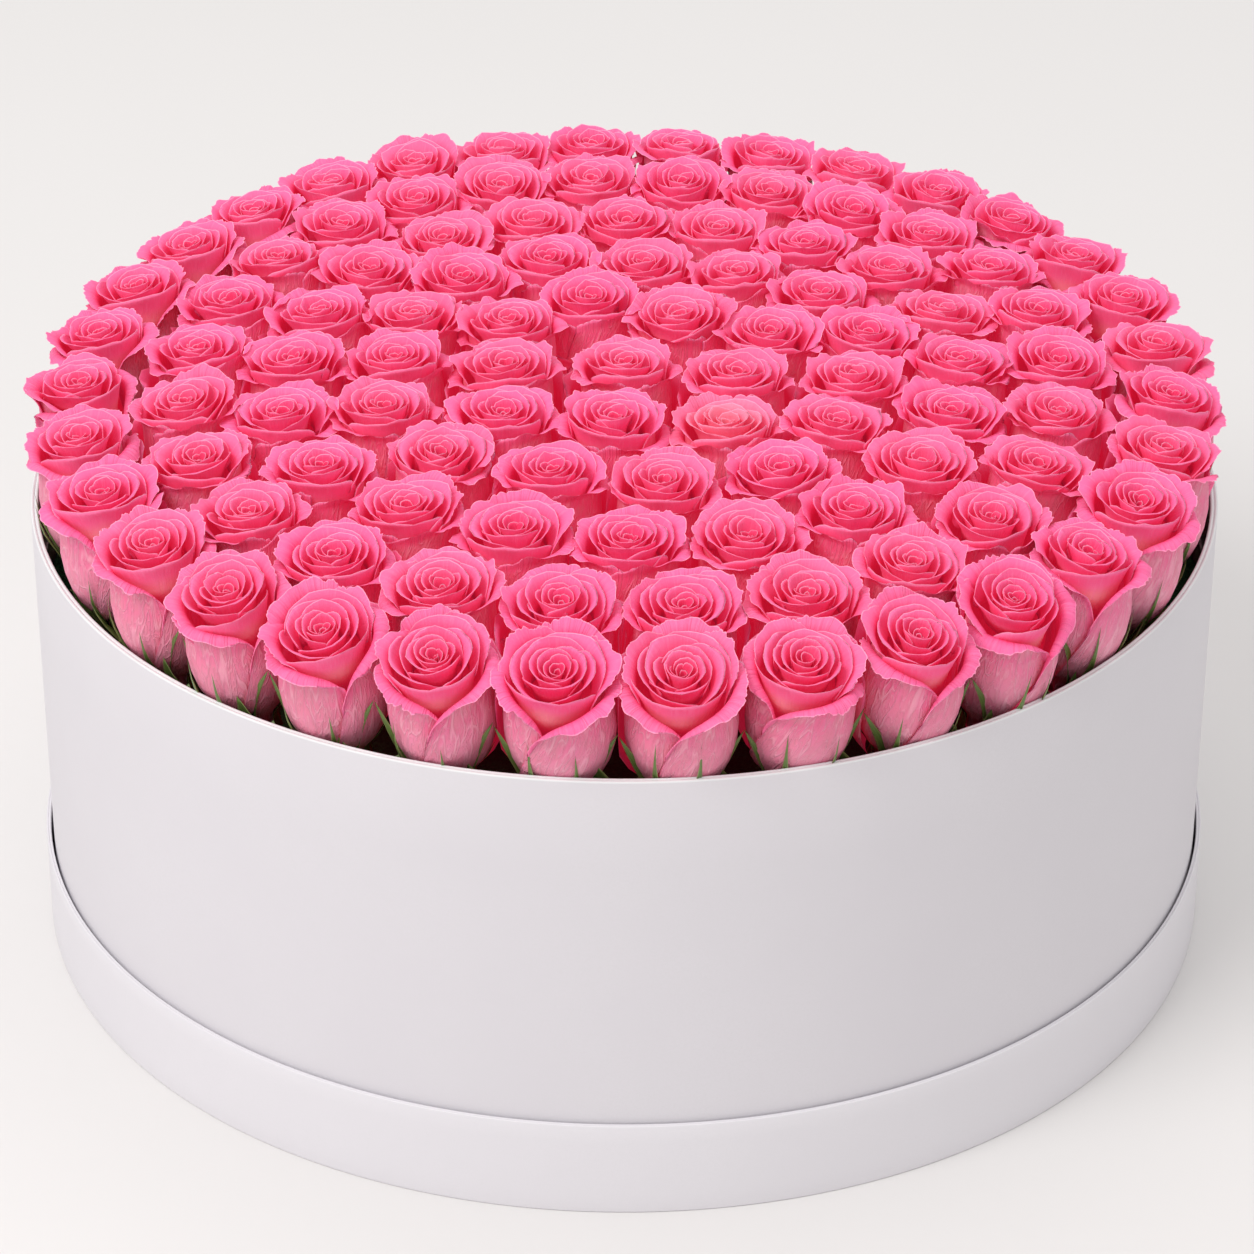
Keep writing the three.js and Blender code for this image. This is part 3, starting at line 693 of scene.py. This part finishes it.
def petal_finish(settings):
    """Petals: pale outsides with raised veins that fan up from the foot, hot pink insides, lips
    with fine rays and a painted highlight, a thin pale line, along every edge. A faint painted
    red glow stands for the daylight that thin petals let through, and lifts the shade in the folds
    and in the heads of the inner rings."""
    finish = Finish("petals")
    mix, ramp, times, most = finish.mix, finish.ramp, finish.times, finish.most
    across, depth, rise, _ = finish.attribute("petal_place")
    layer, inside, tone, own = finish.attribute("petal_kind")
    depth = times(depth, 1.0 / MM)
    place = finish.place()

    def stretched(wide, way, tall, detail, roughness, distortion):
        """A noise with one scale across the petal and another along it, new for each tone."""
        inputs = {0: times(across, wide), 1: times(way, tall), 2: times(tone, TONE_STEP)}
        spot = finish.node("ShaderNodeCombineXYZ", inputs).outputs[0]
        return finish.noise(spot, 1.0, detail, roughness, distortion)

    def ridges(wide, tall, width):
        """Thin lines that follow the level of a noise stretched up the petal."""
        away = finish.math("SUBTRACT", stretched(wide, rise, tall, 1.0, 0.5, 1.1), 0.5)
        return ramp(finish.math("ABSOLUTE", away), width, 0.0)

    veins = most(ridges(5.5, 2.2, 0.055), times(ridges(12.0, 6.0, 0.07), 0.5))
    crumple = times(stretched(5.0, rise, 34.0, 2.0, 0.5, 1.0), ramp(rise, 0.55, 0.2))
    streak = stretched(26.0, depth, 0.12, 2.0, 0.6, 0.0)
    cloud = finish.noise(place, 90.0, 2.0, 0.6)
    lip = mix(ramp(depth, 0.5, 7.0), (0.87, 0.165, 0.36), settings.petal_lip)
    base = finish.layered(
        settings.petal_foot,
        (ramp(rise, 0.35, 1.0), (0.9, 0.15, 0.33)),
        (ramp(cloud, 0.4, 0.65), (0.82, 0.24, 0.36)),
        (times(veins, 0.42), (0.95, 0.54, 0.64)),
    )
    cup = finish.layered(
        (0.9, 0.165, 0.365),
        (ramp(layer, 0.1, 0.5), (0.89, 0.08, 0.255)),
        (ramp(depth, 6.0, 15.0), mix(cloud, (0.86, 0.3, 0.36), (0.9, 0.42, 0.44))),
    )
    within = finish.layered(
        (0.87, 0.15, 0.365),
        (ramp(depth, 1.5, 9.0), settings.petal_inside),
        (ramp(layer, 0.25, 1.0), (0.82, 0.03, 0.14)),
    )
    peach = times(ramp(own, 1.4, 1.6), ramp(layer, 0.1, 0.3, 0.1, 0.34))
    lit = most(ramp(inside, 0.1, 0.5), ramp(layer, 0.1, 0.14))
    colour = finish.layered(
        base,
        (ramp(layer, 0.08, 0.13), cup),
        (ramp(depth, 8.0, 1.5), lip),
        (ramp(inside, 0.35, 0.65), within),
        (ramp(own, 0.0, 1.0, 0.0, 0.16), (0.9, 0.2, 0.3)),
        (ramp(streak, 0.45, 0.7, 0.0, 0.3), (0.93, 0.26, 0.47)),
        (ramp(layer, 0.6, 1.0, 0.0, 0.6), settings.petal_heart),
        (peach, (0.93, 0.42, 0.45)),
        # painted highlight: a thin pale line where the edges of the inner faces and the cup petals
        # catch the light
        (times(ramp(depth, 0.5, 0.1, 0.0, 0.75), lit), (0.96, 0.4, 0.6)),
    )
    flat = {0: finish.place((1.0, 1.0, 0.0))}
    reach = finish.node("ShaderNodeVectorMath", flat, operation="LENGTH").outputs["Value"]
    # painted glow: a faint red emission on the insides, the cup petals, the edges and the petals of
    # the inner rings, standing for light let through the petals and lifting their shade
    through = most(
        ramp(inside, 0.3, 0.5),
        ramp(layer, 0.08, 0.13),
        ramp(depth, 2.0, 0.5),
        ramp(reach, *SHELTER),
    )
    through = times(through, ramp(layer, 1.0, 0.7, 0.35, 1.0))
    fine = finish.noise(place, 1400.0, 1.0, 0.6)
    relief = finish.math("ADD", times(fine, 0.3), times(streak, 0.6))
    body = times(finish.math("ADD", veins, crumple), ramp(layer, 0.08, 0.02))
    return finish.surface(
        Base_Color=colour,
        Roughness=0.55,
        Specular_IOR_Level=0.25,
        # the painted red glow
        Emission_Color=(1.0, 0.03, 0.12, 1.0),
        Emission_Strength=times(PAINTED_GLOW, through),
        Normal=finish.bump(finish.math("ADD", relief, body), 0.6, 0.0006),
    )


# Box, lid, liner and foam

TURNED_STEPS = 256
EDGE_STEPS = 5
RIM_FOLD = 1.6


def corner_arc(centre, radius, start, end):
    """Points of a rounded corner in the profile's plane, from one angle to another in degrees."""
    angle = np.radians(np.linspace(start, end, EDGE_STEPS))
    return [(centre[0] + radius * math.cos(a), centre[1] + radius * math.sin(a)) for a in angle]


def tray_profile(radius, board, bottom, top, edge, rim):
    """Profile of an open tray from the middle of its underside, out, up, over the two beads of its
    rim and down to the middle of its floor, with rounded corners. rim is how thick the rim is."""
    inner = radius - board
    bead = rim / 4
    profile = [(0.0, bottom), (radius * 0.5, bottom), (radius - 6 * edge, bottom)]
    profile += corner_arc((radius - edge, bottom + edge), edge, -90, 0)
    profile += [(radius, bottom + (top - bottom) * share) for share in (0.2, 0.4, 0.6, 0.8)]
    profile += corner_arc((radius - bead, top - bead), bead, 0, 170)
    profile += corner_arc((radius - 3 * bead, top - bead), bead, 10, 180)
    profile += [(radius - rim, top - 2 * rim), (inner, top - 3 * rim)]
    profile += [(inner, top - (top - bottom) * share) for share in (0.3, 0.5, 0.7)]
    profile += [(inner, bottom + board + edge), (inner - edge, bottom + board)]
    profile += [(radius * 0.5, bottom + board), (0.0, bottom + board)]
    return np.array(profile)


def turned(profile):
    """A profile turned once round the upright axis: ring points for each profile point off the
    axis, and one point for each end on it."""
    rings = profile[1:-1]
    angle = np.arange(TURNED_STEPS) * math.tau / TURNED_STEPS
    x = rings[:, :1] * np.cos(angle)
    y = rings[:, :1] * np.sin(angle)
    z = np.broadcast_to(rings[:, 1:], x.shape)
    points = np.stack([x, y, z], axis=-1).reshape(-1, 3)
    ends = [[0.0, 0.0, profile[0, 1]], [0.0, 0.0, profile[-1, 1]]]
    return np.concatenate([points, ends]), ring_faces(len(rings), TURNED_STEPS)


def paper_finish(settings):
    """Paper over board: a cool pale grey with a fine tooth and a faint mottle, and satin light. The
    lid's wall is painted paler, as painted light from the floor, and a pale greenish painted
    highlight runs round the top of the box's rim."""
    finish = Finish("wrapping_paper")
    place = finish.place()
    mottle = finish.noise(place, 14.0, 4.0, 0.55)
    grain = finish.noise(place, 900.0, 3.0, 0.65)
    height = finish.node("ShaderNodeSeparateXYZ", {"Vector": place}).outputs[2]
    lid, rim = settings.lid_height, settings.rim_height
    colour = finish.layered(
        finish.mix(mottle, settings.paper_shade, settings.paper_light),
        (finish.ramp(grain, 0.35, 0.75), (0.7, 0.676, 0.709)),
        # painted light: the lid's wall painted paler, for the light it catches from the floor
        (finish.ramp(height, lid + 1 * MM, lid + 0.2 * MM, 0.0, 0.3), (0.88, 0.865, 0.9)),
        # painted highlight: a pale greenish band along the top of the box's rim
        (finish.ramp(height, rim - 1 * MM, rim - 0.3 * MM), (0.81, 0.85, 0.855)),
    )
    normal = finish.bump(finish.math("ADD", grain, mottle), 0.1, 0.0003)
    return finish.surface(Base_Color=colour, Roughness=0.5, Normal=normal, Specular_IOR_Level=0.4)


def liner_finish():
    """Clear-grey plastic film."""
    finish = Finish("liner_film")
    crease = finish.noise(finish.place((1.0, 1.0, 0.3)), 60.0, 4.0, 0.6)
    colour = finish.mix(crease, (0.55, 0.6, 0.58), (0.7, 0.73, 0.71))
    normal = finish.bump(crease, 0.4, 0.002)
    return finish.surface(Base_Color=colour, Roughness=0.22, Normal=normal)


def foam_finish():
    """Wet floral foam: dark green with open cells."""
    finish = Finish("floral_foam")
    place = finish.place()
    inputs = {"Vector": place, "Scale": 700.0}
    cells = finish.node("ShaderNodeTexVoronoi", inputs).outputs["Distance"]
    tone = finish.noise(place, 30.0, 4.0, 0.6)
    colour = finish.mix(tone, (0.008, 0.07, 0.02), (0.016, 0.12, 0.035))
    # painted shade: the pits of the open cells are darker
    colour = finish.mix(finish.ramp(cells, 0.0, 0.6), (0.004, 0.035, 0.01), colour)
    return finish.surface(Base_Color=colour, Roughness=0.9, Normal=finish.bump(cells, 0.5, 0.0008))


# Greens

def curve_through(stops, count):
    """Points along a smooth curve through the stops of each path: cubic pieces whose tangents are
    half the step between the stops on either side. stops has the shape paths, stops, 3."""
    stops = np.asarray(stops, float)
    before = np.concatenate([2 * stops[:, :1] - stops[:, 1:2], stops[:, :-1]], axis=1)
    after = np.concatenate([stops[:, 1:], 2 * stops[:, -1:] - stops[:, -2:-1]], axis=1)
    tangent = (after - before) / 2
    at = np.linspace(0, stops.shape[1] - 1, count)
    piece = np.minimum(at.astype(int), stops.shape[1] - 2)
    u = (at - piece)[None, :, None]
    p0, p1 = stops[:, piece], stops[:, piece + 1]
    m0, m1 = tangent[:, piece], tangent[:, piece + 1]
    return (
        (2 * u**3 - 3 * u**2 + 1) * p0
        + (u**3 - 2 * u**2 + u) * m0
        + (3 * u**2 - 2 * u**3) * p1
        + (u**3 - u**2) * m1
    )


def blades(paths, outward, width, thickness, rise):
    """Folded lenses of six points carried along paths, whose halves stand off the midrib by the
    rise, closed in a point at both ends. outward is the way that a blade's back faces, and width
    the full width at each point of a path. Each point's row says how far across its blade it is."""
    count, steps = paths.shape[:2]
    along = unit(np.gradient(paths, axis=1))
    out = square_to(outward, along)
    side = np.cross(out, along)
    half = width.reshape(1, -1, 1, 1) / 2
    lens = np.array([[-1, 0], [-0.5, 0.5], [0, 0.62], [0.5, 0.5], [1, 0], [0, -0.5]])
    across, swell = lens.T.reshape(2, 1, 1, -1, 1)
    swell = swell * thickness * np.minimum(half / half.max() * 3, 1.0)
    lift = out[:, :, None] * (swell + rise * np.abs(across) * half)
    rings = paths[:, :, None] + side[:, :, None] * across * half + lift
    body = rings[:, 1:-1].reshape(count, -1, 3)
    points = np.concatenate([body, paths[:, [0, -1]]], axis=1).reshape(-1, 3)
    row = np.tile(np.append(np.tile(lens[:, 0], steps - 2), [0.0, 0.0]), count)
    return points, ring_faces(steps - 2, len(lens), count, flipped=True), row[:, None]


def tubes(paths, radius, corners):
    """Round tubes carried along nearly straight paths, with a radius for each point of a path,
    closed in a point at both ends."""
    count, length = paths.shape[:2]
    axis = unit(paths[:, -1] - paths[:, 0])
    first = unit(np.cross(axis, np.array([0.0, 1.0, 0.1])))
    second = np.cross(axis, first)
    angle = (np.arange(corners) * math.tau / corners).reshape(1, 1, -1, 1)
    round_way = first[:, None, None] * np.cos(angle) + second[:, None, None] * np.sin(angle)
    rings = paths[:, :, None] + round_way * radius.reshape(1, -1, 1, 1)
    body = rings.reshape(count, -1, 3)
    points = np.concatenate([body, paths[:, [0, -1]]], axis=1).reshape(-1, 3)
    return points, ring_faces(length, corners, count), np.zeros((len(points), 1))


# Angles from the front in degrees, and how many points a sepal's path has
OUTER_SEPALS = ((-28, 24, 100, 172, 244), 12)
INNER_SEPALS = ((20, 140, 260), 7)
STEM_FOOT = 112 * MM
STEM_RADIUS = 2.7 * MM
SEPAL_WIDTH = 6.2 * MM
SEPAL_FOOT = -1.5 * MM
SEPAL_START = 3 * MM
SEPAL_GAP = 1.4 * MM
SEPAL_BACK = 4 * MM
ARCH_SHIFT = math.radians(22)
BLADE_THICKNESS = 0.7 * MM
LEAF_THICKNESS = 0.6 * MM
ARCH_STEPS = 14
LEAF_STEPS = 12


def local_points(heads, radius, angle, height):
    """World points given in the heads' own frames by radius, angle from the front and height."""
    x = (radius * np.cos(angle))[..., None]
    y = (radius * np.sin(angle))[..., None]
    across = heads.front[:, None] * x + heads.side[:, None] * y
    return heads.foot[:, None] + across + heads.axis[:, None] * height[..., None]


def stems_and_cups(heads):
    """Stems that swell into the round hip and open into the flat green cup under each head."""
    drop = (heads.foot[:, 2] - STEM_FOOT) / heads.axis[:, 2]
    swell = np.tile(np.array([12, 9, 6.5, 3.5, 1.2, 0.5, 0.2]) * MM, (len(drop), 1))
    levels = np.column_stack([drop, drop / 2, swell])
    paths = heads.foot[:, None] - heads.axis[:, None] * levels[..., None]
    radius = np.array([0.96, 1.0, 1.0, 1.15, 1.75, 2.0, 2.1, 2.15, 1.9]) * STEM_RADIUS
    return tubes(paths, radius, 8)


def sepals(heads, angle, stand, length, steps, draw):
    """Sepals that leave the cup at an angle, hug the belly of their head and bend off it at the
    tip. stand is how far the tip stands off and length how high it climbs, for each head."""
    share = np.array([0.0, 0.12, 0.45, 0.72, 1.0])
    height = SEPAL_FOOT + share * length[:, None]
    hug = head_profile(np.maximum(height, 0.0)) + SEPAL_GAP
    radius = np.where(share < 0.1, SEPAL_START, hug + stand[:, None] * share**3)
    sway = draw.normal(0, 0.03, (len(angle), 1)) * share * 3
    stops = local_points(heads, radius, angle[:, None] + sway, height)
    paths = curve_through(stops, steps)
    t = np.linspace(0, 1, steps)
    width = SEPAL_WIDTH * (0.55 + 0.75 * np.sin(np.pi * np.minimum(t * 1.15, 1.0) ** 0.8))
    outward = paths - heads.foot[:, None] - heads.axis[:, None] * SEPAL_BACK
    return blades(paths, outward, width * (1.0 - t) ** 0.75, BLADE_THICKNESS, 0.35)


def arched_pairs(heads, draw):
    """The sepals that lean towards the next head on either side and meet its own in an arch: out of
    the cup, round the belly and up between the two heads."""
    count = len(heads.foot)
    t = np.linspace(0, 1, ARCH_STEPS)
    width = SEPAL_WIDTH * (0.6 + 0.78 * np.sin(np.pi * t**0.8)) * (1.0 - t) ** 0.5
    knee = head_profile(np.array([3.0, 18.0, 29.0]) * MM) + 0.8 * MM
    climb = np.array([-2.5, 3.0, 18.0, 32.0, 45.0]) * MM
    shift = ARCH_SHIFT * np.array([1.7, 1.9, 2.1, 1.6, 1.0])
    parts = []
    for way in (1, -1):
        gap = np.roll(heads.middle, -way, axis=0) - heads.middle
        front = (gap * heads.front).sum(axis=1)
        side = (gap * heads.side).sum(axis=1)
        angle = np.arctan2(side, front)[:, None] - way * shift
        height = climb + draw.normal(0, 1.5 * MM, (count, 1)) * np.array([0, 0, 0.2, 0.6, 1.0])
        reach = np.linalg.norm(gap, axis=1) / 2 / math.cos(ARCH_SHIFT)
        radius = np.column_stack([np.tile([SEPAL_START, *knee], (count, 1)), reach])
        radius = np.minimum(radius, reach[:, None])
        paths = curve_through(local_points(heads, radius, angle, height), ARCH_STEPS)
        parts.append(blades(paths, heads.front[:, None], width, BLADE_THICKNESS, 0.3))
    return joined(parts)


def rim_leaves(heads, draw):
    """Dark leaves tucked between the outer heads and the wall, each arching up from the stems to a
    point just over the rim."""
    middle = (heads.foot + np.roll(heads.foot, -1, axis=0)) / 2
    middle[:, 2] = 0.0
    out = unit(middle)
    up = np.array([0.0, 0.0, 1.0])
    side = np.cross(up, out)
    count = len(out)
    t = np.linspace(0, 1, LEAF_STEPS)
    parts = []
    for lean, first, last, size in ((-9, 150, 201, 17), (8, 146, 197, 19), (0, 160, 190, 22)):
        reach = (np.array([196, 214, 228, 238, 241]) + draw.normal(0, 1.2, (count, 1))) * MM
        height = (first + (last - first) * np.array([0, 0.3, 0.58, 0.82, 1.0])) * MM
        height = height + draw.normal(0, 1.5 * MM, (count, 1))
        slide = (lean + draw.normal(0, 2.5, (count, 1))) * MM * np.array([0.2, 0.6, 0.9, 1.1, 1.5])
        stops = out[:, None] * reach[..., None] + side[:, None] * slide[..., None]
        stops[..., 2] = height
        width = size * MM * np.sin(np.pi * t**0.85) ** 0.8 * (1.0 - 0.25 * t)
        paths = curve_through(stops, LEAF_STEPS)
        parts.append(blades(paths, out[:, None] - 0.6 * up, width, LEAF_THICKNESS, 0.25))
    return joined(parts)


def green_finish(settings):
    """Sepals, cups, stems and leaves: deep green with paler borders and a lighter midrib."""
    finish = Finish("greens")
    place = finish.place()
    off_rib = finish.math("ABSOLUTE", finish.attribute("blade_place")[0])
    cloud = finish.noise(place, 120.0, 3.0, 0.6)
    colour = finish.layered(
        finish.mix(cloud, settings.green_dark, settings.green_light),
        (finish.ramp(off_rib, 0.55, 1.0, 0.0, 0.75), (0.4, 0.42, 0.16)),
        (finish.ramp(off_rib, 0.14, 0.02, 0.0, 0.4), (0.2, 0.28, 0.08)),
    )
    normal = finish.bump(finish.noise(place, 900.0, 3.0, 0.6), 0.3, 0.0004)
    return finish.surface(Base_Color=colour, Roughness=0.42, Normal=normal)


# The stage

CAMERA_PLACE = (-0.03225, -1.68175, 1.086)
CAMERA_TARGET = (0.00125, 0.0, 0.123)
CAMERA_ROLL = 0.002
CAMERA_LENS = 128.74
SENSOR = 36.0
LIGHTS_TARGET = (0.0, 0.0, 0.15)
FLOOR_REACH = 30.0


def aimed(place, target, roll=0.0):
    """The turn that points an object's -Z axis from a place at a target, with its own roll."""
    turn = (Vector(target) - Vector(place)).to_track_quat("-Z", "Y")
    return (turn.to_matrix() @ Euler((0.0, 0.0, roll)).to_matrix()).to_euler()


def add_light(name, place, size, power, colour):
    lamp = bpy.data.lights.new(name, "AREA")
    lamp.shape = "DISK"
    lamp.size = size
    lamp.energy = power
    lamp.color = colour
    light = bpy.data.objects.new(name, lamp)
    light.location = place
    light.rotation_euler = aimed(place, LIGHTS_TARGET)
    bpy.context.scene.collection.objects.link(light)


def floor_finish():
    finish = Finish("studio_floor")
    mottle = finish.noise(finish.place(), 3.0, 2.0, 0.5)
    colour = finish.mix(mottle, (0.755, 0.74, 0.735), (0.77, 0.755, 0.75))
    return finish.surface(Base_Color=colour, Roughness=0.9, Specular_IOR_Level=0.1)


# Sizes and colours that a user would change

def length(name, description, default):
    return bpy.props.FloatProperty(
        name=name, description=description, default=default, unit="LENGTH"
    )


def tint(name, description, default):
    return bpy.props.FloatVectorProperty(
        name=name, description=description, default=default, subtype="COLOR", min=0.0, max=1.0
    )


class RoseBoxSettings(bpy.types.PropertyGroup):
    box_radius: length("Box radius", "Outside of the box", 0.25)
    box_board: length("Box board", "Thickness of the box wall", 0.002)
    rim_height: length("Rim height", "Height of the rim over the floor", 0.199)
    lid_board: length("Lid board", "Thickness of the lid wall", 0.002)
    lid_clearance: length("Lid clearance", "Gap from box to lid wall", 0.0011)
    lid_height: length("Lid height", "Height of the lid wall", 0.042)
    liner_wall: length("Liner wall", "Thickness of the liner", 0.001)
    liner_top: length("Liner top", "Height of the liner's rim", 0.162)
    gap: length("Gap", "Gap between pieces that touch", 0.0003)
    edge: length("Edge", "Rounding of the board's edges", 0.0007)
    paper_light: tint("Paper", "Light patches of the paper", (0.737, 0.714, 0.747))
    paper_shade: tint("Paper shade", "Dark patches of the paper", (0.68, 0.652, 0.694))
    petal_foot: tint("Petal foot", "Outside of a petal low down", (0.86, 0.35, 0.46))
    petal_lip: tint("Petal lip", "Outside of a rolled lip", (0.87, 0.075, 0.235))
    petal_inside: tint("Petal inside", "Inside of a petal", (0.87, 0.055, 0.205))
    petal_heart: tint("Rose heart", "Innermost petals", (0.72, 0.015, 0.09))
    green_light: tint("Green", "Light patches of the greens", (0.15, 0.23, 0.055))
    green_dark: tint("Green shade", "Dark patches of the greens", (0.07, 0.13, 0.025))


def stand_for(piece, slot, *nodes):
    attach(piece, "root")
    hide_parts(*nodes)


class ROSEBOX_OT_box(bpy.types.Operator):
    """Turn the box and the lid it stands in"""

    bl_idname = "rosebox.box"
    bl_label = "Add Box and Lid"

    def execute(self, context):
        sizes = context.scene.rose_box
        paper = paper_finish(sizes)
        board = sizes.lid_board
        radius = sizes.box_radius + sizes.lid_clearance + board
        lid = tray_profile(radius, board, 0.0, sizes.lid_height, sizes.edge, board)
        stand_for(mesh_piece("base_lid_paper", *turned(lid), paper), "board", "base_lid")
        bottom = board + sizes.gap
        board = sizes.box_board
        rim = board * RIM_FOLD
        box = tray_profile(sizes.box_radius, board, bottom, sizes.rim_height, sizes.edge, rim)
        stand_for(mesh_piece("box_body_paper", *turned(box), paper), "board", "box_body")
        return {"FINISHED"}


class ROSEBOX_OT_filling(bpy.types.Operator):
    """Turn the liner and give the foam block its open cells"""

    bl_idname = "rosebox.filling"
    bl_label = "Add Liner and Foam"

    def execute(self, context):
        sizes = context.scene.rose_box
        radius = sizes.box_radius - sizes.box_board - sizes.gap
        bottom = sizes.lid_board + 2 * sizes.gap + sizes.box_board
        wall = sizes.liner_wall
        liner = tray_profile(radius, wall, bottom, sizes.liner_top, 0.3 * MM, wall)
        stand_for(mesh_piece("liner_film", *turned(liner), liner_finish()), "liner", "liner")
        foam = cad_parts["floral_foam"]
        foam.data.materials.clear()
        foam.data.materials.append(foam_finish())
        return {"FINISHED"}


class ROSEBOX_OT_roses(bpy.types.Operator):
    """Add every rose, one piece for each node of the frame"""

    bl_idname = "rosebox.roses"
    bl_label = "Add Roses"

    def execute(self, context):
        heads = head_frames()
        finish = petal_finish(context.scene.rose_box)
        for node, members in head_groups(heads).items():
            grains = FINE if heads.ring[members[0]] == OUTER_RING else COARSE
            points, faces, values = joined([rose_head(heads, i, grains) for i in members])
            attributes = {"petal_place": values[:, :3], "petal_kind": values[:, 3:7]}
            crease = values[:, 7] > 0.5
            piece = mesh_piece(f"{node}_petals", points, faces, finish, attributes, crease=crease)
            stand_for(piece, "petals", node)
        return {"FINISHED"}


class ROSEBOX_OT_greens(bpy.types.Operator):
    """Add stems, cups, sepals and leaves, one piece for each ring"""

    bl_idname = "rosebox.greens"
    bl_label = "Add Greens"

    def execute(self, context):
        heads = head_frames()
        finish = green_finish(context.scene.rose_box)
        draw = np.random.default_rng(SEED)
        for number in range(1, OUTER_RING + 1):
            members = np.flatnonzero(heads.ring == number)
            if number == 1:
                members = np.concatenate([[0], members])
            count = len(members)
            chosen = Heads(*(field[members] for field in heads))
            parts = [stems_and_cups(chosen)]
            outer = number == OUTER_RING
            turns, steps = OUTER_SEPALS if outer else INNER_SEPALS
            for turn in turns:
                angle = math.radians(turn) + draw.normal(0, 0.16, count)
                stand = draw.uniform(0.2, 2.2, count) * MM
                longest = 53 if abs(turn) < 60 and outer else 34
                length = draw.uniform(longest - 9, longest, count) * MM
                parts.append(sepals(chosen, angle, stand, length, steps, draw))
            if outer:
                parts.append(arched_pairs(chosen, draw))
                parts.append(rim_leaves(chosen, draw))
            points, faces, place = joined(parts)
            name = f"greens_ring{number}"
            values = {"blade_place": place}
            piece = mesh_piece(f"{name}_blades", points, faces, finish, values)
            stand_for(piece, "greens", name)
        return {"FINISHED"}


class ROSEBOX_OT_stage(bpy.types.Operator):
    """Add the floor, the soft lights and the camera"""

    bl_idname = "rosebox.stage"
    bl_label = "Add Stage"

    def execute(self, context):
        scene = context.scene
        corners = np.array([[-1, -1, 0], [1, -1, 0], [1, 1, 0], [-1, 1, 0]]) * FLOOR_REACH
        faces = [np.array([[0, 1, 2, 3]])]
        mesh_piece("studio_floor", corners, faces, floor_finish(), smooth=False)
        world = bpy.data.worlds.new("studio")
        world.use_nodes = True
        sky = world.node_tree.nodes["Background"]
        sky.inputs["Color"].default_value = (1.0, 0.99, 0.98, 1.0)
        sky.inputs["Strength"].default_value = 0.75
        scene.world = world
        scene.view_settings.view_transform = "Standard"
        add_light("key", (-1.45, -1.4, 2.6), 1.6, 47.0, (1.0, 0.985, 0.97))
        add_light("top", (0.3, 0.6, 3.0), 2.4, 16.0, (1.0, 1.0, 1.0))
        camera_data = bpy.data.cameras.new("camera")
        camera_data.lens = CAMERA_LENS
        camera_data.sensor_width = SENSOR
        camera_data.clip_end = 100.0
        camera = bpy.data.objects.new("camera", camera_data)
        camera.location = CAMERA_PLACE
        camera.rotation_euler = aimed(CAMERA_PLACE, CAMERA_TARGET, CAMERA_ROLL)
        scene.collection.objects.link(camera)
        scene.camera = camera
        return {"FINISHED"}


class ROSEBOX_PT_panel(bpy.types.Panel):
    """Sizes and colours of the box and a button for each group of pieces"""

    bl_idname = "ROSEBOX_PT_panel"
    bl_label = "Rose Box"
    bl_space_type = "VIEW_3D"
    bl_region_type = "UI"
    bl_category = "Rose Box"

    def draw(self, context):
        for name in RoseBoxSettings.__annotations__:
            self.layout.prop(context.scene.rose_box, name)
        for operator in OPERATORS:
            self.layout.operator(operator.bl_idname)


OPERATORS = (
    ROSEBOX_OT_box,
    ROSEBOX_OT_filling,
    ROSEBOX_OT_roses,
    ROSEBOX_OT_greens,
    ROSEBOX_OT_stage,
)
CLASSES = (RoseBoxSettings, *OPERATORS, ROSEBOX_PT_panel)


def register():
    for item in CLASSES:
        bpy.utils.register_class(item)
    bpy.types.Scene.rose_box = bpy.props.PointerProperty(type=RoseBoxSettings)


def unregister():
    del bpy.types.Scene.rose_box
    for item in reversed(CLASSES):
        bpy.utils.unregister_class(item)



def main():
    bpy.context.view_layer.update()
    register()
    bpy.ops.rosebox.box()
    bpy.ops.rosebox.filling()
    bpy.ops.rosebox.roses()
    bpy.ops.rosebox.greens()
    bpy.ops.rosebox.stage()


if __name__ == "__main__":
    main()
